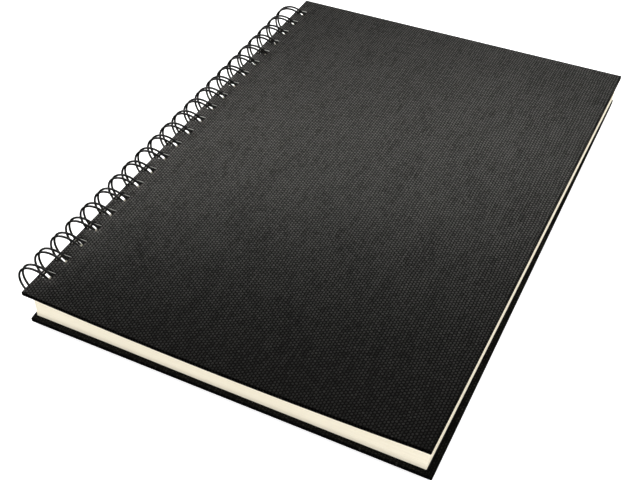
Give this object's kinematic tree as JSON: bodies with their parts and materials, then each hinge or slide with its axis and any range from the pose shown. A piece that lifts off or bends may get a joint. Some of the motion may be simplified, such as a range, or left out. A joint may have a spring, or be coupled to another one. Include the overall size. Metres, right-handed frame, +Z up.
{
  "type": "sketchbook",
  "caption": "Closed hard-cover drawing pad with black cloth covers, cream leaves and a row of twin wire loops; opens flat.",
  "frame": {"origin": "under the middle of the closed book's box, at the lowest point of the wire loops", "axes": "+X from the wire binding to the fore-edge, +Y along the spine from tail to head, +Z up through the front cover"},
  "size_m": [0.2249, 0.297, 0.0242],
  "materials": {
    "black_book_cloth": "matt, fine canvas weave",
    "grey_board": "raw, uncoated",
    "endpaper": "matt",
    "drawing_paper": "matt, slightly rough",
    "black_wire": "semi-gloss nylon coating"
  },
  "bodies": {
    "book_back": {"back_cover_cloth": "black_book_cloth", "back_cover_board": "grey_board", "back_endpaper": "endpaper", "binding_wire": "black_wire"},
    "front_cover": {"front_cover_cloth": "black_book_cloth", "front_cover_board": "grey_board", "front_endpaper": "endpaper"},
    "leaf_01": {"sheet_01": "drawing_paper"},
    "leaf_02": {"sheet_02": "drawing_paper"},
    "leaf_03": {"sheet_03": "drawing_paper"},
    "leaf_04": {"sheet_04": "drawing_paper"},
    "leaf_05": {"sheet_05": "drawing_paper"},
    "leaf_06": {"sheet_06": "drawing_paper"},
    "leaf_07": {"sheet_07": "drawing_paper"},
    "leaf_08": {"sheet_08": "drawing_paper"},
    "leaf_09": {"sheet_09": "drawing_paper"},
    "leaf_10": {"sheet_10": "drawing_paper"},
    "leaf_11": {"sheet_11": "drawing_paper"},
    "leaf_12": {"sheet_12": "drawing_paper"},
    "leaf_13": {"sheet_13": "drawing_paper"},
    "leaf_14": {"sheet_14": "drawing_paper"},
    "leaf_15": {"sheet_15": "drawing_paper"},
    "leaf_16": {"sheet_16": "drawing_paper"},
    "leaf_17": {"sheet_17": "drawing_paper"},
    "leaf_18": {"sheet_18": "drawing_paper"},
    "leaf_19": {"sheet_19": "drawing_paper"},
    "leaf_20": {"sheet_20": "drawing_paper"},
    "leaf_21": {"sheet_21": "drawing_paper"},
    "leaf_22": {"sheet_22": "drawing_paper"},
    "leaf_23": {"sheet_23": "drawing_paper"},
    "leaf_24": {"sheet_24": "drawing_paper"},
    "leaf_25": {"sheet_25": "drawing_paper"},
    "leaf_26": {"sheet_26": "drawing_paper"},
    "leaf_27": {"sheet_27": "drawing_paper"},
    "leaf_28": {"sheet_28": "drawing_paper"},
    "leaf_29": {"sheet_29": "drawing_paper"},
    "leaf_30": {"sheet_30": "drawing_paper"},
    "leaf_31": {"sheet_31": "drawing_paper"},
    "leaf_32": {"sheet_32": "drawing_paper"},
    "leaf_33": {"sheet_33": "drawing_paper"},
    "leaf_34": {"sheet_34": "drawing_paper"},
    "leaf_35": {"sheet_35": "drawing_paper"},
    "leaf_36": {"sheet_36": "drawing_paper"},
    "leaf_37": {"sheet_37": "drawing_paper"},
    "leaf_38": {"sheet_38": "drawing_paper"},
    "leaf_39": {"sheet_39": "drawing_paper"},
    "leaf_40": {"sheet_40": "drawing_paper"},
    "leaf_41": {"sheet_41": "drawing_paper"},
    "leaf_42": {"sheet_42": "drawing_paper"},
    "leaf_43": {"sheet_43": "drawing_paper"},
    "leaf_44": {"sheet_44": "drawing_paper"},
    "leaf_45": {"sheet_45": "drawing_paper"},
    "leaf_46": {"sheet_46": "drawing_paper"},
    "leaf_47": {"sheet_47": "drawing_paper"},
    "leaf_48": {"sheet_48": "drawing_paper"},
    "leaf_49": {"sheet_49": "drawing_paper"},
    "leaf_50": {"sheet_50": "drawing_paper"}
  },
  "joints": [
    {"name": "front_cover_swing", "type": "hinge", "parent": "book_back", "child": "front_cover", "pos_m": [-0.10035, 0, 0.0121], "axis": [0, -1, 0], "range_deg": [0, 180]},
    {"name": "leaf_01_turn", "type": "hinge", "parent": "book_back", "child": "leaf_01", "pos_m": [-0.10035, 0, 0.0121], "axis": [0, -1, 0], "range_deg": [0, 178.92]},
    {"name": "leaf_02_turn", "type": "hinge", "parent": "book_back", "child": "leaf_02", "pos_m": [-0.10035, 0, 0.0121], "axis": [0, -1, 0], "range_deg": [0, 178.7]},
    {"name": "leaf_03_turn", "type": "hinge", "parent": "book_back", "child": "leaf_03", "pos_m": [-0.10035, 0, 0.0121], "axis": [0, -1, 0], "range_deg": [0, 178.49]},
    {"name": "leaf_04_turn", "type": "hinge", "parent": "book_back", "child": "leaf_04", "pos_m": [-0.10035, 0, 0.0121], "axis": [0, -1, 0], "range_deg": [0, 178.27]},
    {"name": "leaf_05_turn", "type": "hinge", "parent": "book_back", "child": "leaf_05", "pos_m": [-0.10035, 0, 0.0121], "axis": [0, -1, 0], "range_deg": [0, 178.06]},
    {"name": "leaf_06_turn", "type": "hinge", "parent": "book_back", "child": "leaf_06", "pos_m": [-0.10035, 0, 0.0121], "axis": [0, -1, 0], "range_deg": [0, 177.84]},
    {"name": "leaf_07_turn", "type": "hinge", "parent": "book_back", "child": "leaf_07", "pos_m": [-0.10035, 0, 0.0121], "axis": [0, -1, 0], "range_deg": [0, 177.62]},
    {"name": "leaf_08_turn", "type": "hinge", "parent": "book_back", "child": "leaf_08", "pos_m": [-0.10035, 0, 0.0121], "axis": [0, -1, 0], "range_deg": [0, 177.41]},
    {"name": "leaf_09_turn", "type": "hinge", "parent": "book_back", "child": "leaf_09", "pos_m": [-0.10035, 0, 0.0121], "axis": [0, -1, 0], "range_deg": [0, 177.19]},
    {"name": "leaf_10_turn", "type": "hinge", "parent": "book_back", "child": "leaf_10", "pos_m": [-0.10035, 0, 0.0121], "axis": [0, -1, 0], "range_deg": [0, 176.98]},
    {"name": "leaf_11_turn", "type": "hinge", "parent": "book_back", "child": "leaf_11", "pos_m": [-0.10035, 0, 0.0121], "axis": [0, -1, 0], "range_deg": [0, 176.76]},
    {"name": "leaf_12_turn", "type": "hinge", "parent": "book_back", "child": "leaf_12", "pos_m": [-0.10035, 0, 0.0121], "axis": [0, -1, 0], "range_deg": [0, 176.54]},
    {"name": "leaf_13_turn", "type": "hinge", "parent": "book_back", "child": "leaf_13", "pos_m": [-0.10035, 0, 0.0121], "axis": [0, -1, 0], "range_deg": [0, 176.33]},
    {"name": "leaf_14_turn", "type": "hinge", "parent": "book_back", "child": "leaf_14", "pos_m": [-0.10035, 0, 0.0121], "axis": [0, -1, 0], "range_deg": [0, 176.11]},
    {"name": "leaf_15_turn", "type": "hinge", "parent": "book_back", "child": "leaf_15", "pos_m": [-0.10035, 0, 0.0121], "axis": [0, -1, 0], "range_deg": [0, 175.9]},
    {"name": "leaf_16_turn", "type": "hinge", "parent": "book_back", "child": "leaf_16", "pos_m": [-0.10035, 0, 0.0121], "axis": [0, -1, 0], "range_deg": [0, 175.68]},
    {"name": "leaf_17_turn", "type": "hinge", "parent": "book_back", "child": "leaf_17", "pos_m": [-0.10035, 0, 0.0121], "axis": [0, -1, 0], "range_deg": [0, 175.46]},
    {"name": "leaf_18_turn", "type": "hinge", "parent": "book_back", "child": "leaf_18", "pos_m": [-0.10035, 0, 0.0121], "axis": [0, -1, 0], "range_deg": [0, 175.25]},
    {"name": "leaf_19_turn", "type": "hinge", "parent": "book_back", "child": "leaf_19", "pos_m": [-0.10035, 0, 0.0121], "axis": [0, -1, 0], "range_deg": [0, 175.03]},
    {"name": "leaf_20_turn", "type": "hinge", "parent": "book_back", "child": "leaf_20", "pos_m": [-0.10035, 0, 0.0121], "axis": [0, -1, 0], "range_deg": [0, 174.82]},
    {"name": "leaf_21_turn", "type": "hinge", "parent": "book_back", "child": "leaf_21", "pos_m": [-0.10035, 0, 0.0121], "axis": [0, -1, 0], "range_deg": [0, 167.4]},
    {"name": "leaf_22_turn", "type": "hinge", "parent": "book_back", "child": "leaf_22", "pos_m": [-0.10035, 0, 0.0121], "axis": [0, -1, 0], "range_deg": [0, 140.4]},
    {"name": "leaf_23_turn", "type": "hinge", "parent": "book_back", "child": "leaf_23", "pos_m": [-0.10035, 0, 0.0121], "axis": [0, -1, 0], "range_deg": [0, 108]},
    {"name": "leaf_24_turn", "type": "hinge", "parent": "book_back", "child": "leaf_24", "pos_m": [-0.10035, 0, 0.0121], "axis": [0, -1, 0], "range_deg": [0, 72]},
    {"name": "leaf_25_turn", "type": "hinge", "parent": "book_back", "child": "leaf_25", "pos_m": [-0.10035, 0, 0.0121], "axis": [0, -1, 0], "range_deg": [0, 36]},
    {"name": "leaf_26_turn", "type": "hinge", "parent": "book_back", "child": "leaf_26", "pos_m": [-0.10035, 0, 0.0121], "axis": [0, -1, 0], "range_deg": [0, 5.4]},
    {"name": "leaf_27_turn", "type": "hinge", "parent": "book_back", "child": "leaf_27", "pos_m": [-0.10035, 0, 0.0121], "axis": [0, -1, 0], "range_deg": [0, 5.22]},
    {"name": "leaf_28_turn", "type": "hinge", "parent": "book_back", "child": "leaf_28", "pos_m": [-0.10035, 0, 0.0121], "axis": [0, -1, 0], "range_deg": [0, 5.04]},
    {"name": "leaf_29_turn", "type": "hinge", "parent": "book_back", "child": "leaf_29", "pos_m": [-0.10035, 0, 0.0121], "axis": [0, -1, 0], "range_deg": [0, 4.86]},
    {"name": "leaf_30_turn", "type": "hinge", "parent": "book_back", "child": "leaf_30", "pos_m": [-0.10035, 0, 0.0121], "axis": [0, -1, 0], "range_deg": [0, 4.68]},
    {"name": "leaf_31_turn", "type": "hinge", "parent": "book_back", "child": "leaf_31", "pos_m": [-0.10035, 0, 0.0121], "axis": [0, -1, 0], "range_deg": [0, 4.5]},
    {"name": "leaf_32_turn", "type": "hinge", "parent": "book_back", "child": "leaf_32", "pos_m": [-0.10035, 0, 0.0121], "axis": [0, -1, 0], "range_deg": [0, 4.32]},
    {"name": "leaf_33_turn", "type": "hinge", "parent": "book_back", "child": "leaf_33", "pos_m": [-0.10035, 0, 0.0121], "axis": [0, -1, 0], "range_deg": [0, 4.14]},
    {"name": "leaf_34_turn", "type": "hinge", "parent": "book_back", "child": "leaf_34", "pos_m": [-0.10035, 0, 0.0121], "axis": [0, -1, 0], "range_deg": [0, 3.96]},
    {"name": "leaf_35_turn", "type": "hinge", "parent": "book_back", "child": "leaf_35", "pos_m": [-0.10035, 0, 0.0121], "axis": [0, -1, 0], "range_deg": [0, 3.78]},
    {"name": "leaf_36_turn", "type": "hinge", "parent": "book_back", "child": "leaf_36", "pos_m": [-0.10035, 0, 0.0121], "axis": [0, -1, 0], "range_deg": [0, 3.6]},
    {"name": "leaf_37_turn", "type": "hinge", "parent": "book_back", "child": "leaf_37", "pos_m": [-0.10035, 0, 0.0121], "axis": [0, -1, 0], "range_deg": [0, 3.42]},
    {"name": "leaf_38_turn", "type": "hinge", "parent": "book_back", "child": "leaf_38", "pos_m": [-0.10035, 0, 0.0121], "axis": [0, -1, 0], "range_deg": [0, 3.24]},
    {"name": "leaf_39_turn", "type": "hinge", "parent": "book_back", "child": "leaf_39", "pos_m": [-0.10035, 0, 0.0121], "axis": [0, -1, 0], "range_deg": [0, 3.06]},
    {"name": "leaf_40_turn", "type": "hinge", "parent": "book_back", "child": "leaf_40", "pos_m": [-0.10035, 0, 0.0121], "axis": [0, -1, 0], "range_deg": [0, 2.88]},
    {"name": "leaf_41_turn", "type": "hinge", "parent": "book_back", "child": "leaf_41", "pos_m": [-0.10035, 0, 0.0121], "axis": [0, -1, 0], "range_deg": [0, 2.7]},
    {"name": "leaf_42_turn", "type": "hinge", "parent": "book_back", "child": "leaf_42", "pos_m": [-0.10035, 0, 0.0121], "axis": [0, -1, 0], "range_deg": [0, 2.52]},
    {"name": "leaf_43_turn", "type": "hinge", "parent": "book_back", "child": "leaf_43", "pos_m": [-0.10035, 0, 0.0121], "axis": [0, -1, 0], "range_deg": [0, 2.34]},
    {"name": "leaf_44_turn", "type": "hinge", "parent": "book_back", "child": "leaf_44", "pos_m": [-0.10035, 0, 0.0121], "axis": [0, -1, 0], "range_deg": [0, 2.16]},
    {"name": "leaf_45_turn", "type": "hinge", "parent": "book_back", "child": "leaf_45", "pos_m": [-0.10035, 0, 0.0121], "axis": [0, -1, 0], "range_deg": [0, 1.98]},
    {"name": "leaf_46_turn", "type": "hinge", "parent": "book_back", "child": "leaf_46", "pos_m": [-0.10035, 0, 0.0121], "axis": [0, -1, 0], "range_deg": [0, 1.8]},
    {"name": "leaf_47_turn", "type": "hinge", "parent": "book_back", "child": "leaf_47", "pos_m": [-0.10035, 0, 0.0121], "axis": [0, -1, 0], "range_deg": [0, 1.62]},
    {"name": "leaf_48_turn", "type": "hinge", "parent": "book_back", "child": "leaf_48", "pos_m": [-0.10035, 0, 0.0121], "axis": [0, -1, 0], "range_deg": [0, 1.44]},
    {"name": "leaf_49_turn", "type": "hinge", "parent": "book_back", "child": "leaf_49", "pos_m": [-0.10035, 0, 0.0121], "axis": [0, -1, 0], "range_deg": [0, 1.26]},
    {"name": "leaf_50_turn", "type": "hinge", "parent": "book_back", "child": "leaf_50", "pos_m": [-0.10035, 0, 0.0121], "axis": [0, -1, 0], "range_deg": [0, 1.08]}
  ],
  "couplings": [
    {"joint": "leaf_01_turn", "follows": "front_cover_swing", "ratio": 0.994},
    {"joint": "leaf_02_turn", "follows": "front_cover_swing", "ratio": 0.9928},
    {"joint": "leaf_03_turn", "follows": "front_cover_swing", "ratio": 0.9916},
    {"joint": "leaf_04_turn", "follows": "front_cover_swing", "ratio": 0.9904},
    {"joint": "leaf_05_turn", "follows": "front_cover_swing", "ratio": 0.9892},
    {"joint": "leaf_06_turn", "follows": "front_cover_swing", "ratio": 0.988},
    {"joint": "leaf_07_turn", "follows": "front_cover_swing", "ratio": 0.9868},
    {"joint": "leaf_08_turn", "follows": "front_cover_swing", "ratio": 0.9856},
    {"joint": "leaf_09_turn", "follows": "front_cover_swing", "ratio": 0.9844},
    {"joint": "leaf_10_turn", "follows": "front_cover_swing", "ratio": 0.9832},
    {"joint": "leaf_11_turn", "follows": "front_cover_swing", "ratio": 0.982},
    {"joint": "leaf_12_turn", "follows": "front_cover_swing", "ratio": 0.9808},
    {"joint": "leaf_13_turn", "follows": "front_cover_swing", "ratio": 0.9796},
    {"joint": "leaf_14_turn", "follows": "front_cover_swing", "ratio": 0.9784},
    {"joint": "leaf_15_turn", "follows": "front_cover_swing", "ratio": 0.9772},
    {"joint": "leaf_16_turn", "follows": "front_cover_swing", "ratio": 0.976},
    {"joint": "leaf_17_turn", "follows": "front_cover_swing", "ratio": 0.9748},
    {"joint": "leaf_18_turn", "follows": "front_cover_swing", "ratio": 0.9736},
    {"joint": "leaf_19_turn", "follows": "front_cover_swing", "ratio": 0.9724},
    {"joint": "leaf_20_turn", "follows": "front_cover_swing", "ratio": 0.9712},
    {"joint": "leaf_21_turn", "follows": "front_cover_swing", "ratio": 0.93},
    {"joint": "leaf_22_turn", "follows": "front_cover_swing", "ratio": 0.78},
    {"joint": "leaf_23_turn", "follows": "front_cover_swing", "ratio": 0.6},
    {"joint": "leaf_24_turn", "follows": "front_cover_swing", "ratio": 0.4},
    {"joint": "leaf_25_turn", "follows": "front_cover_swing", "ratio": 0.2},
    {"joint": "leaf_26_turn", "follows": "front_cover_swing", "ratio": 0.03},
    {"joint": "leaf_27_turn", "follows": "front_cover_swing", "ratio": 0.029},
    {"joint": "leaf_28_turn", "follows": "front_cover_swing", "ratio": 0.028},
    {"joint": "leaf_29_turn", "follows": "front_cover_swing", "ratio": 0.027},
    {"joint": "leaf_30_turn", "follows": "front_cover_swing", "ratio": 0.026},
    {"joint": "leaf_31_turn", "follows": "front_cover_swing", "ratio": 0.025},
    {"joint": "leaf_32_turn", "follows": "front_cover_swing", "ratio": 0.024},
    {"joint": "leaf_33_turn", "follows": "front_cover_swing", "ratio": 0.023},
    {"joint": "leaf_34_turn", "follows": "front_cover_swing", "ratio": 0.022},
    {"joint": "leaf_35_turn", "follows": "front_cover_swing", "ratio": 0.021},
    {"joint": "leaf_36_turn", "follows": "front_cover_swing", "ratio": 0.02},
    {"joint": "leaf_37_turn", "follows": "front_cover_swing", "ratio": 0.019},
    {"joint": "leaf_38_turn", "follows": "front_cover_swing", "ratio": 0.018},
    {"joint": "leaf_39_turn", "follows": "front_cover_swing", "ratio": 0.017},
    {"joint": "leaf_40_turn", "follows": "front_cover_swing", "ratio": 0.016},
    {"joint": "leaf_41_turn", "follows": "front_cover_swing", "ratio": 0.015},
    {"joint": "leaf_42_turn", "follows": "front_cover_swing", "ratio": 0.014},
    {"joint": "leaf_43_turn", "follows": "front_cover_swing", "ratio": 0.013},
    {"joint": "leaf_44_turn", "follows": "front_cover_swing", "ratio": 0.012},
    {"joint": "leaf_45_turn", "follows": "front_cover_swing", "ratio": 0.011},
    {"joint": "leaf_46_turn", "follows": "front_cover_swing", "ratio": 0.01},
    {"joint": "leaf_47_turn", "follows": "front_cover_swing", "ratio": 0.009},
    {"joint": "leaf_48_turn", "follows": "front_cover_swing", "ratio": 0.008},
    {"joint": "leaf_49_turn", "follows": "front_cover_swing", "ratio": 0.007},
    {"joint": "leaf_50_turn", "follows": "front_cover_swing", "ratio": 0.006}
  ]
}
